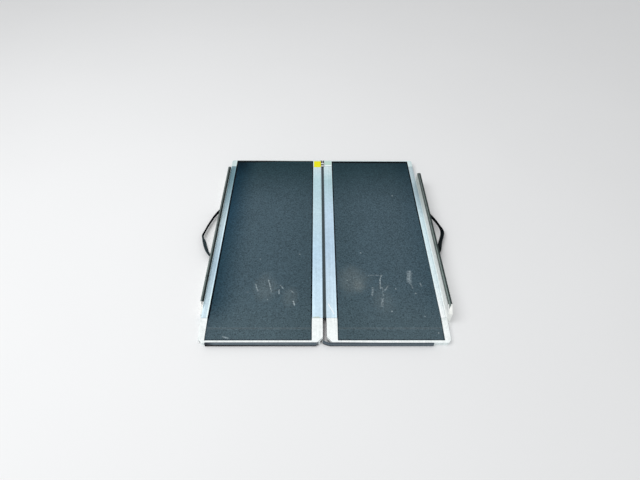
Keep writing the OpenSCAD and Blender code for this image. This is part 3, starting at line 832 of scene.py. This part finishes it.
def web_finish(name, colour, turn, dust):
    """Woven webbing, on a UV map in metres: ribs across its width, each crossed by fine warp
    threads, faded in places, and paler along its lower part, up to its turn: painted light where
    that part lies over and faces up."""
    s = Shader(name, "UV")
    rib_pitch = 1.6 * MM
    waver_pitch = 2.4 * MM
    warp_pitch = 1.2 * MM
    waver = (s.y * (2 * math.pi / waver_pitch)).wave() * 0.9
    ribs = (s.x * (2 * math.pi / rib_pitch) + waver).wave() * 0.5 + 0.5
    warp = (s.y * (2 * math.pi / warp_pitch)).wave() * 0.5 + 0.5
    weave = ribs * 0.65 + warp * 0.35
    faded = s.ease(s.noise(38.0, 3.0), 0.45, 0.8, 0.0, 0.2)
    shown = mark(s, light_of(colour), faded, "faded webbing")
    # Painted light on the lower part, which lies over and faces up
    lower = s.ease(s.x, turn - 8 * MM, turn + 2 * MM, dust, 0.0)
    shown = mark(s, shown, lower, "dust on webbing")
    shown = s.shade(shown, 0.6 + 0.75 * weave)
    return s.surface(base_color=shown, roughness=0.85, normal=s.bump(weave, 0.5 * MM, 0.7),
                     specular_ior_level=0.06)


def sticker_finish(name, colour):
    """Blank gloss label with fine wear."""
    s = Shader(name)
    wear = s.noise(120.0, 4.0, 0.65)
    shown = s.shade(light_of(colour), 1.0 + 0.3 * (wear - 0.5))
    return s.surface(base_color=shown, roughness=0.35 + 0.25 * wear,
                     normal=s.bump(wear, 0.06 * MM, 0.5), specular_ior_level=0.2)


# The operators

class RampOperator:
    """What the ramp's operators share."""
    bl_options = {"REGISTER", "UNDO"}


class RAMP_OT_grit(RampOperator, bpy.types.Operator):
    """Finish the gritted sheets of both panels"""
    bl_idname = "ramp.grit"
    bl_label = "Gritted sheets"

    def execute(self, context):
        colours = context.scene.ramp_colours
        left = grit_finish("grit_left", colours, LEFT_SCUFFS, LEFT_SMUDGES, 0.9,
                           (2.4 * MM, 2.4 * MM), (-2.0 * MM, 9.0 * MM))
        right = grit_finish("grit_right", colours, RIGHT_SCUFFS, RIGHT_SMUDGES, 0.26,
                            (-3.0 * MM, 0.8 * MM), (12.0 * MM, 12.0 * MM))
        dress(left, "left_grit")
        dress(right, "right_grit")
        return {"FINISHED"}


class RAMP_OT_metal(RampOperator, bpy.types.Operator):
    """Finish the rails, toes, caps, curbs, planks, bars and plates"""
    bl_idname = "ramp.metal"
    bl_label = "Aluminium and steel"

    def execute(self, context):
        colours = context.scene.ramp_colours
        both = (SEAM, CAP_SEAM)
        rails = {
            "left_outer_rail": metal_finish("rail_left", LEFT_RAIL, 0.38, lip=0.22, seams=both,
                                            extra=bright_sides),
            "right_outer_rail": metal_finish("rail_right", RIGHT_RAIL, 0.44, lip=0.12, seams=both,
                                             metallic=0.2, extra=curb_joint),
            "left_inner_rail": metal_finish("strip_left", LEFT_STRIP, 0.38, lip=0.06, seams=both,
                                            extra=stained_strip),
            "right_inner_rail": metal_finish("strip_right", RIGHT_STRIP, 0.38, lip=0.08,
                                             seams=both, extra=marked_strip),
        }
        for node, finish in rails.items():
            dress(finish, node)
        toe = metal_finish("toe_satin", colours.toe, 0.42, seams=(SEAM,), grime=0.12,
                           speckle=0.22, extra=toe_marks)
        cap = metal_finish("cap_satin", colours.cap, 0.38, seams=(CAP_SEAM,), lip=0.1,
                           extra=cap_marks)
        curb = metal_finish("curb_satin", colours.curb, 0.55, grime=0.1, blotch=0.2,
                            metallic=0.15)
        tall = metal_finish("curb_lined", TALL_CURB, 0.55, grime=0.06, blotch=0.16,
                            metallic=0.1, extra=curb_lines)
        # The curb ends take a brighter copy of the curb's finish, with no grime and fewer
        # blotches: painted light
        ends = metal_finish("curb_end_bright", UNSHADED_CURB, 0.5, grime=0.0, blotch=0.1,
                            metallic=0.25)
        plank = metal_finish("plank_mill", colours.plank, 0.46, streak=0.22, grime=0.5,
                             scratch=0.2)
        steel = metal_finish("plate_brushed", colours.steel, 0.30, scratch=0.4, fold_shade=0.0)
        link = metal_finish("link_soiled", colours.link, 0.6, grime=0.5, scratch=0.3,
                            metallic=0.5, fold_shade=0.75)
        for side in SIDES:
            dress(toe, side + "_toe")
            dress(cap, side + "_top_cap")
            dress(ends, side + "_curb_end")
            dress(plank, side + "_deck", side + "_cross_bars")
            dress(steel, side + "_strap_plates")
        dress(curb, "left_curb")
        dress(tall, "right_curb")
        dress(steel, "link_plates")
        dress(link, "link_bar")
        return {"FINISHED"}


class RAMP_OT_rubber(RampOperator, bpy.types.Operator):
    """Finish the sill pads and the edging along the curbs"""
    bl_idname = "ramp.rubber"
    bl_label = "Pads and edging"

    def execute(self, context):
        colours = context.scene.ramp_colours
        pad = rubber_finish("pad_rubber", colours.rubber)
        for side in SIDES:
            dress(pad, side + "_sill_pad")
            edging = rubber_finish("edging_" + side, colours.edging, 0.2, edging_light_and_shade(side))
            dress(edging, side + "_curb_rubber")
        return {"FINISHED"}


# Each strap's route in plan, in millimetres: distance out from the curb's face, and Y, from its
# lower end flat on the curb to its upper one
STRAP_ROUTES = {
    "left": ((1.5, -125), (1.5, -114), (1.8, -106), (8, -95), (20.5, -75), (29, -56), (36, -37),
             (43.5, -14), (50, 3), (49, 19), (45, 36), (41, 54), (32, 84), (22.5, 112), (11, 136),
             (2.4, 149), (1.5, 157), (1.5, 165)),
    "right": ((1.5, -125), (1.5, -114), (1.8, -106), (9, -92), (20, -68), (27, -42),
              (34, -21), (42, 0), (48, 17), (49.5, 33), (46.5, 53), (39.5, 76), (31.5, 96),
              (20, 119), (7, 138), (1.8, 148), (1.5, 156), (1.5, 165)),
}
# How far each strap lies over in its lower part, as a share of the twist, where along it that
# ends, and the painted light on its lower part, where it faces up
STRAP_LIES = {"left": (1.0, 0.46, 0.8), "right": (1.1, 0.54, 0.1)}


def strap_angles(count, lies, turn, twist):
    """How far the webbing leans over at each ring of a strap, as a column of angles: upright at
    the ends, over by its share of the twist up to the turn, and a little the other way beyond it.
    Each angle is the mean of its near neighbours' ones."""
    places = (0, 0.1, 0.2, turn - 0.05, turn + 0.05, 0.82, 0.92, 1)
    leans = (0, 0, lies, lies, -0.3, -0.3, 0, 0)
    lean = np.interp(np.linspace(0, 1, count), places, leans)
    near = 8
    shares = np.ones(2 * near + 1) / (2 * near + 1)
    lean = np.convolve(np.pad(lean, near, "edge"), shares, "valid")
    return (lean * twist)[:, None]


class RAMP_OT_straps(RampOperator, bpy.types.Operator):
    """Make the two carrying straps of webbing, which lie over in their lower half"""
    bl_idname = "ramp.straps"
    bl_label = "Carrying straps"

    def execute(self, context):
        sizes = context.scene.ramp_sizes
        thick = sizes.web_thickness
        rise = np.array([0.0, 0.0, 1.0])
        for side, sign in SIDES.items():
            node = side + "_strap"
            bottom, top = low(node, "z"), high(node, "z")
            # The strap's lean, its turn, and the painted light on its lower part
            lies, turn, dust = STRAP_LIES[side]
            plan = smooth_route(STRAP_ROUTES[side], sizes.steps) * MM
            plan[:, 0] += reach(side + "_curb")
            path = np.insert(plan, 2, (bottom + top) / 2, axis=1)
            along = directions(path)
            out = np.stack([along[:, 1], -along[:, 0], np.zeros(len(path))], 1)
            angle = strap_angles(len(path), lies, turn, sizes.web_twist)
            across = out * np.cos(angle) - rise * np.sin(angle)
            up = out * np.sin(angle) + rise * np.cos(angle)
            outline = rounded_outline(thick, top - bottom, thick * 0.45, 3)
            points = sweep(path, across, up, outline)
            heights = outline[:, 1]
            points[..., 0] *= sign
            if sign < 0:
                points = points[:, ::-1]
                heights = heights[::-1]
            length = lengths_along(path)
            uv = np.stack(np.broadcast_arrays(length[:, None], heights[None]), -1)
            strap = grid_object(side + "_webbing", points[None], uv)
            finish = web_finish("webbing_" + side, context.scene.ramp_colours.webbing,
                                length[-1] * turn, dust)
            add_piece(strap, side + "_panel", finish)
            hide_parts(node)
        return {"FINISHED"}


def strip_outline(face, deep, bottom, top):
    """Outline of a front strip, as distance behind its front and height: quarter circles at the
    front's foot and top, the face against the toe, and the root in the toe's groove."""
    soft = 0.9 * MM
    half_root = 2.45 * MM
    middle = (bottom + top) / 2
    angle = np.linspace(0, math.pi / 2, 4)
    fall = soft * (1 - np.sin(angle))
    rise = soft * (1 - np.cos(angle))
    foot = np.stack([fall, bottom + rise], 1)
    head = np.stack([rise, top - fall], 1)
    back = [[face, top], [face, middle + half_root], [deep, middle + half_root],
            [deep, middle - half_root], [face, middle - half_root], [face, bottom]]
    return np.concatenate([foot, head, back])


class RAMP_OT_front_rubbers(RampOperator, bpy.types.Operator):
    """Make the rubber strips along the toes, with the right one's free end bent back"""
    bl_idname = "ramp.front_rubbers"
    bl_label = "Front rubbers"

    def execute(self, context):
        sizes = context.scene.ramp_sizes
        for side in SIDES:
            node = side + "_front_rubber"
            start, front = low(node, "x"), low(node, "y")
            x = np.linspace(start, high(node, "x"), 180)
            bend = np.zeros_like(x)
            if side == "right":
                free = np.clip((start + sizes.curl_length - x) / sizes.curl_length, 0, 1)
                bend = sizes.curl * free ** 1.7
            path = np.stack([x, front + bend, np.zeros_like(x)], 1)
            along = directions(path)
            inward = np.stack([-along[:, 1], along[:, 0], np.zeros_like(x)], 1)
            rise = np.tile([0.0, 0.0, 1.0], (len(x), 1))
            outline = strip_outline(METAL_FRONT - front, high(node, "y") - front,
                                    low(node, "z"), high(node, "z"))
            points = sweep(path, inward, rise, outline)
            strip = grid_object(side + "_front_strip", points[None], smooth_below=35)
            finish = rubber_finish("front_rubber_" + side, context.scene.ramp_colours.strip, 0.2,
                                   strip_darkening)
            add_piece(strip, side + "_panel", finish)
            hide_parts(node)
        return {"FINISHED"}


# Each label's name, panel and colour setting, and its middle and size in millimetres
LABELS = (
    ("sticker", "left", "sticker", (-22.8, 435.5), (31.0, 43.0)),
    ("pale_square", "right", "patch", (24.0, 442.5), (30.0, 24.0)),
)


class RAMP_OT_labels(RampOperator, bpy.types.Operator):
    """Lay the blank yellow sticker and the pale square at the top of the inner rails"""
    bl_idname = "ramp.labels"
    bl_label = "Labels"

    def execute(self, context):
        thick = context.scene.ramp_sizes.sticker_thickness
        corner = 1.5 * MM
        for name, side, setting, middle, (width, length) in LABELS:
            outline = rounded_outline(width * MM, length * MM, corner)
            smaller = rounded_outline(width * MM - thick, length * MM - thick, corner)
            rings = []
            for flat, z in ((outline, 0.0), (outline, thick * 0.5), (smaller, thick)):
                height = np.full((len(flat), 1), DECK_TOP + z)
                rings.append(np.concatenate([flat + np.array(middle) * MM, height], 1))
            label = grid_object(name, np.stack(rings)[None], smooth_below=20)
            finish = sticker_finish(name + "_gloss", getattr(context.scene.ramp_colours, setting))
            add_piece(label, side + "_panel", finish)
        return {"FINISHED"}


class RAMP_OT_rivets(RampOperator, bpy.types.Operator):
    """Set the rivets in the strap plates"""
    bl_idname = "ramp.rivets"
    bl_label = "Rivets"

    def execute(self, context):
        sizes = context.scene.ramp_sizes
        steel = metal_finish("rivet_steel", context.scene.ramp_colours.steel, 0.3)
        for side, sign in SIDES.items():
            node = side + "_strap_plates"
            face = reach(node)
            z = (low(node, "z") + high(node, "z")) / 2
            inset = 10 * MM
            half_gap = 5 * MM
            plates = (low(node, "y") + inset, high(node, "y") - inset)
            places = [(sign * face, y + away, z) for y in plates
                      for away in (-half_gap, half_gap)]
            heads = domes(side + "_strap_rivets", places, (sign, 0, 0),
                          sizes.rivet_radius, sizes.rivet_height)
            add_piece(heads, side + "_panel", steel)
        return {"FINISHED"}


def turned_to(place, right, up, forward):
    """Puts an object at a place, with its own X to the right, Y up and -Z forward."""
    turn = np.stack([right, up, -forward], 1)
    return Matrix.Translation(place) @ Matrix(turn.tolist()).to_4x4()


# The large lamp's place and width, in metres
KEY_PLACE = (-1.6, -0.6, 3.2)
KEY_WIDTH = 2.6
# Width of the camera's picture plane, in millimetres
PICTURE_WIDTH = 36.0


class RAMP_OT_stage(RampOperator, bpy.types.Operator):
    """Lay the pale floor, light the ramp softly and place the camera"""
    bl_idname = "ramp.stage"
    bl_label = "Stage"

    def execute(self, context):
        stage = context.scene.ramp_stage
        self.lay_floor(stage)
        self.light_world(context.scene, stage)
        self.hang_lamps(context.scene, stage)
        self.place_camera(context.scene, stage)
        context.scene.view_settings.view_transform = "Standard"
        return {"FINISHED"}

    def lay_floor(self, stage):
        """A flat square of floor at the ground."""
        half = stage.floor / 2
        corners = [(-half, -half, 0), (half, -half, 0), (half, half, 0), (-half, half, 0)]
        mesh = bpy.data.meshes.new("floor")
        mesh.from_pydata(corners, [], [(0, 1, 2, 3)])
        floor = bpy.data.objects.new("floor", mesh)
        bpy.context.scene.collection.objects.link(floor)
        s = Shader("floor_pale")
        soft = s.noise(1.5, 2.0)
        shown = s.shade(light_of(stage.floor_colour), 0.985 + 0.03 * soft)
        mesh.materials.append(s.surface(base_color=shown, roughness=0.9, specular_ior_level=0.1))

    def light_world(self, scene, stage):
        """A near-white world, seen at full strength by the camera and in reflections."""
        scene.world = bpy.data.worlds.new("pale_world")
        nodes = Nodes(scene.world)
        seen = nodes.node("ShaderNodeLightPath", {}, {}, "Is Camera Ray")
        mirrored = Value(nodes, seen.socket.node.outputs["Is Glossy Ray"])
        sockets = {"Value": seen.most(mirrored), "To Min": stage.world_light, "To Max": 1.0}
        level = nodes.node("ShaderNodeMapRange", {}, sockets)
        sockets = {"Color": (1.0, 1.0, 1.0, 1.0), "Strength": level}
        shown = nodes.node("ShaderNodeBackground", {}, sockets)
        nodes.node("ShaderNodeOutputWorld", {}, {"Surface": shown})

    def hang_lamps(self, scene, stage):
        """One large soft lamp, high up and to the ramp's left."""
        lamp = bpy.data.lights.new("key", "AREA")
        lamp.shape = "DISK"
        lamp.size = KEY_WIDTH
        lamp.energy = stage.key_power
        key = bpy.data.objects.new("key", lamp)
        key.visible_glossy = False
        place = np.array(KEY_PLACE)
        forward = -place / np.linalg.norm(place)
        right = np.cross(forward, [0.0, 0.0, 1.0])
        right /= np.linalg.norm(right)
        key.matrix_world = turned_to(KEY_PLACE, right, np.cross(right, forward), forward)
        scene.collection.objects.link(key)

    def place_camera(self, scene, stage):
        """The camera at the height, angles and lens of the picture's view."""
        down, aside, roll = stage.camera_down, stage.camera_aside, stage.camera_roll
        forward = np.array([math.sin(aside) * math.cos(down), math.cos(aside) * math.cos(down),
                            -math.sin(down)])
        right = np.array([math.cos(aside), -math.sin(aside), 0.0])
        up = np.cross(right, forward)
        turned_right = math.cos(roll) * right + math.sin(roll) * up
        turned_up = -math.sin(roll) * right + math.cos(roll) * up
        data = bpy.data.cameras.new("camera")
        data.lens = stage.lens
        data.sensor_width = PICTURE_WIDTH
        data.clip_start = 0.01
        data.clip_end = 60.0
        camera = bpy.data.objects.new("camera", data)
        scene.collection.objects.link(camera)
        camera.matrix_world = turned_to(stage.camera_place, turned_right, turned_up, forward)
        scene.camera = camera


class RAMP_PT_panel(bpy.types.Panel):
    """Lists the ramp's settings and operators"""
    bl_idname = "RAMP_PT_panel"
    bl_label = "Boarding ramp"
    bl_space_type = "VIEW_3D"
    bl_region_type = "UI"
    bl_category = "Ramp"

    def draw(self, context):
        layout = self.layout
        for operator in OPERATORS:
            layout.operator(operator.bl_idname)
        for group_name in GROUPS:
            group = getattr(context.scene, group_name)
            box = layout.box()
            for name in group.bl_rna.properties.keys():
                if name not in ("rna_type", "name"):
                    box.prop(group, name)


OPERATORS = (RAMP_OT_stage, RAMP_OT_grit, RAMP_OT_metal, RAMP_OT_rubber, RAMP_OT_straps,
             RAMP_OT_front_rubbers, RAMP_OT_labels, RAMP_OT_rivets)
GROUPS = {"ramp_colours": RampColours, "ramp_sizes": RampSizes, "ramp_stage": RampStage}
CLASSES = (*GROUPS.values(), *OPERATORS, RAMP_PT_panel)


def register():
    for each in CLASSES:
        bpy.utils.register_class(each)
    for name, group in GROUPS.items():
        setattr(bpy.types.Scene, name, PointerProperty(type=group))


def unregister():
    for name in GROUPS:
        delattr(bpy.types.Scene, name)
    for each in reversed(CLASSES):
        bpy.utils.unregister_class(each)


def main():
    """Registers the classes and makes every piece."""
    register()
    bpy.ops.ramp.stage()
    bpy.ops.ramp.grit()
    bpy.ops.ramp.metal()
    bpy.ops.ramp.rubber()
    bpy.ops.ramp.straps()
    bpy.ops.ramp.front_rubbers()
    bpy.ops.ramp.labels()
    bpy.ops.ramp.rivets()


if __name__ == "__main__":
    main()
